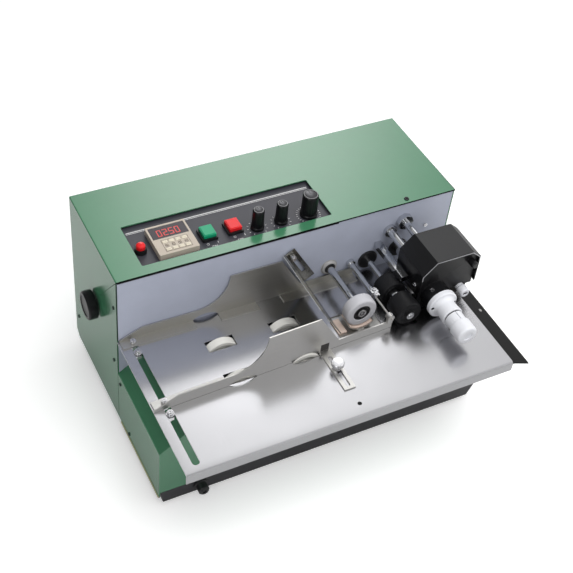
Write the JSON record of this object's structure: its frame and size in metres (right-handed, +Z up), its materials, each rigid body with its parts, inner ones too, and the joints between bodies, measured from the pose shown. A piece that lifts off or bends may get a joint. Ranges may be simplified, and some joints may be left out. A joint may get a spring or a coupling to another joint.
{
  "type": "date coding machine",
  "caption": "Desktop date coder: hopper guides and feed wheels pass bags under a feed roller, press rollers and a heated type drum to an exit lip.",
  "frame": {"origin": "centre of the footprint box at floor level", "axes": "+X from the hopper to the exit, +Y from the table to the rear, +Z up"},
  "size_m": [0.4514, 0.3564, 0.2775],
  "materials": {
    "base_black": "satin black paint",
    "foot_rubber": "matt rubber",
    "black_plastic": "satin",
    "green_paint": "glossy green paint",
    "panel_grey": "satin blue-grey paint",
    "control_grey": "satin",
    "counter_beige": "fine grain",
    "display_window": "tinted window",
    "key_beige": "fine grain",
    "red_plastic": "gloss",
    "green_plastic": "gloss",
    "dial_black": "satin black",
    "shaft_steel": "ground",
    "motor_paint": "satin",
    "cast_alloy": "as cast",
    "belt_rubber": "matt",
    "board_green": "board lacquer",
    "transformer_core": "varnished sheet",
    "stainless": "brushed",
    "lip_dark": "satin dark grey",
    "bright_screw": "plated",
    "chrome_rod": "polished",
    "bearing_black": "satin",
    "white_rubber": "matt",
    "pad_beige": "matt",
    "roller_rubber": "matt",
    "drum_alloy": "machined",
    "white_plastic": "satin",
    "ink_felt": "solid ink",
    "head_black": "satin black paint"
  },
  "bodies": {
    "frame": {"base_tray": "base_black", "rubber_feet": "foot_rubber", "fuse_holder": "black_plastic", "lower_casing": "green_paint", "front_panel": "panel_grey", "top_cover": "green_paint", "control_plate": "control_grey", "counter_case": "counter_beige", "counter_window": "display_window", "button_collars": "black_plastic", "gear_motor": "motor_paint", "gearbox": "cast_alloy", "drive_belts": "belt_rubber", "control_board": "board_green", "transformer": "transformer_core", "power_inlet": "black_plastic", "work_table": "stainless", "exit_lip": "lip_dark", "rear_guide": "stainless", "clamp_bolts": "bright_screw", "guide_rod": "chrome_rod", "shaft_bearings": "bearing_black", "front_bearing_plate": "cast_alloy", "separator_plate": "stainless", "separator_pad": "pad_beige", "heater_block": "drum_alloy", "head_posts": "chrome_rod", "head_plate": "head_black", "head_cover": "head_black"},
    "drum": {"drum_shaft": "chrome_rod", "type_drum": "drum_alloy", "drum_knob": "white_plastic"},
    "lower_transport": {"lower_roller": "roller_rubber"},
    "platen": {"platen_roller": "roller_rubber"},
    "press": {"press_shaft": "chrome_rod", "press_rollers": "roller_rubber"},
    "feed": {"feed_shaft": "chrome_rod", "feed_hub": "bearing_black", "feed_tyre": "white_rubber"},
    "wheels_l": {"wheel_shaft_left": "shaft_steel", "wheels_left": "white_rubber"},
    "wheels_r": {"wheel_shaft_right": "shaft_steel", "wheels_right": "white_rubber"},
    "ink": {"ink_roll": "ink_felt", "ink_spindle": "white_plastic"},
    "drive": {"motor_shaft": "shaft_steel", "hand_knob": "dial_black"},
    "guide": {"front_guide": "stainless", "front_clamp_bolts": "bright_screw"},
    "thumb": {"thumb_screw": "bright_screw"},
    "gate": {"stop_gate": "stainless"},
    "reset": {"reset_button": "red_plastic"},
    "start": {"start_button": "green_plastic"},
    "stop": {"stop_button": "red_plastic"},
    "dial_temperature": {"temperature_dial": "dial_black"},
    "dial_position": {"position_dial": "dial_black"},
    "dial_speed": {"speed_dial": "dial_black"},
    "preset_up": {"keys_plus": "key_beige"},
    "preset_down": {"keys_minus": "key_beige"}
  },
  "joints": [
    {"name": "drum_spin", "type": "hinge", "parent": "frame", "child": "drum", "pos_m": [0.15625, -0.03625, 0.1782], "axis": [0, 1, 0], "continuous": true},
    {"name": "lower_spin", "type": "hinge", "parent": "frame", "child": "lower_transport", "pos_m": [0.11425, -0.03625, 0.1385], "axis": [0, 1, 0], "continuous": true},
    {"name": "platen_spin", "type": "hinge", "parent": "frame", "child": "platen", "pos_m": [0.15625, -0.03625, 0.1385], "axis": [0, 1, 0], "continuous": true},
    {"name": "press_spin", "type": "hinge", "parent": "frame", "child": "press", "pos_m": [0.11425, -0.03625, 0.172], "axis": [0, 1, 0], "continuous": true},
    {"name": "feed_spin", "type": "hinge", "parent": "frame", "child": "feed", "pos_m": [0.05975, -0.03625, 0.1773], "axis": [0, 1, 0], "continuous": true},
    {"name": "wheel_left_spin", "type": "hinge", "parent": "frame", "child": "wheels_l", "pos_m": [-0.10325, -0.03625, 0.1385], "axis": [0, 1, 0], "continuous": true},
    {"name": "wheel_right_spin", "type": "hinge", "parent": "frame", "child": "wheels_r", "pos_m": [-0.02224, -0.03625, 0.1385], "axis": [0, 1, 0], "continuous": true},
    {"name": "ink_spin", "type": "hinge", "parent": "frame", "child": "ink", "pos_m": [0.19489, -0.03625, 0.1737], "axis": [0, 1, 0], "continuous": true},
    {"name": "hand_spin", "type": "hinge", "parent": "frame", "child": "drive", "pos_m": [-0.11175, 0.09425, 0.151], "axis": [1, 0, 0], "continuous": true},
    {"name": "gate_slide", "type": "slide", "parent": "frame", "child": "gate", "axis": [-0.5225, 0, 0.8526], "range_m": [0, 0.022]},
    {"name": "guide_slide", "type": "slide", "parent": "frame", "child": "guide", "axis": [0, -1, 0], "range_m": [-0.005, 0.017]},
    {"name": "reset_press", "type": "slide", "parent": "frame", "child": "reset", "axis": [0, 0, -1], "range_m": [0, 0.0025], "stiffness_N_per_m": 300},
    {"name": "start_press", "type": "slide", "parent": "frame", "child": "start", "axis": [0, 0, -1], "range_m": [0, 0.0025], "stiffness_N_per_m": 300},
    {"name": "stop_press", "type": "slide", "parent": "frame", "child": "stop", "axis": [0, 0, -1], "range_m": [0, 0.0025], "stiffness_N_per_m": 300},
    {"name": "preset_up_press", "type": "slide", "parent": "frame", "child": "preset_up", "axis": [0, 0, -1], "range_m": [0, 0.0008], "stiffness_N_per_m": 400},
    {"name": "preset_down_press", "type": "slide", "parent": "frame", "child": "preset_down", "axis": [0, 0, -1], "range_m": [0, 0.0008], "stiffness_N_per_m": 400},
    {"name": "temperature_turn", "type": "hinge", "parent": "frame", "child": "dial_temperature", "pos_m": [-0.02825, 0.05125, 0.26], "axis": [0, 0, 1], "range_deg": [-140, 140]},
    {"name": "position_turn", "type": "hinge", "parent": "frame", "child": "dial_position", "pos_m": [0.00225, 0.05125, 0.26], "axis": [0, 0, 1], "range_deg": [-140, 140]},
    {"name": "speed_turn", "type": "hinge", "parent": "frame", "child": "dial_speed", "pos_m": [0.03825, 0.05075, 0.26], "axis": [0, 0, 1], "range_deg": [-140, 140]},
    {"name": "thumb_turn", "type": "hinge", "parent": "frame", "child": "thumb", "pos_m": [0.00276, -0.10845, 0.16], "axis": [0, 0, 1], "range_deg": [0, 270]}
  ],
  "couplings": [
    {"joint": "lower_spin", "follows": "drum_spin", "ratio": -1},
    {"joint": "platen_spin", "follows": "drum_spin", "ratio": -1},
    {"joint": "press_spin", "follows": "drum_spin", "ratio": 1},
    {"joint": "feed_spin", "follows": "drum_spin", "ratio": 1},
    {"joint": "wheel_left_spin", "follows": "drum_spin", "ratio": -1},
    {"joint": "wheel_right_spin", "follows": "drum_spin", "ratio": -1},
    {"joint": "ink_spin", "follows": "drum_spin", "ratio": -1.443},
    {"joint": "hand_spin", "follows": "drum_spin", "ratio": 1}
  ]
}
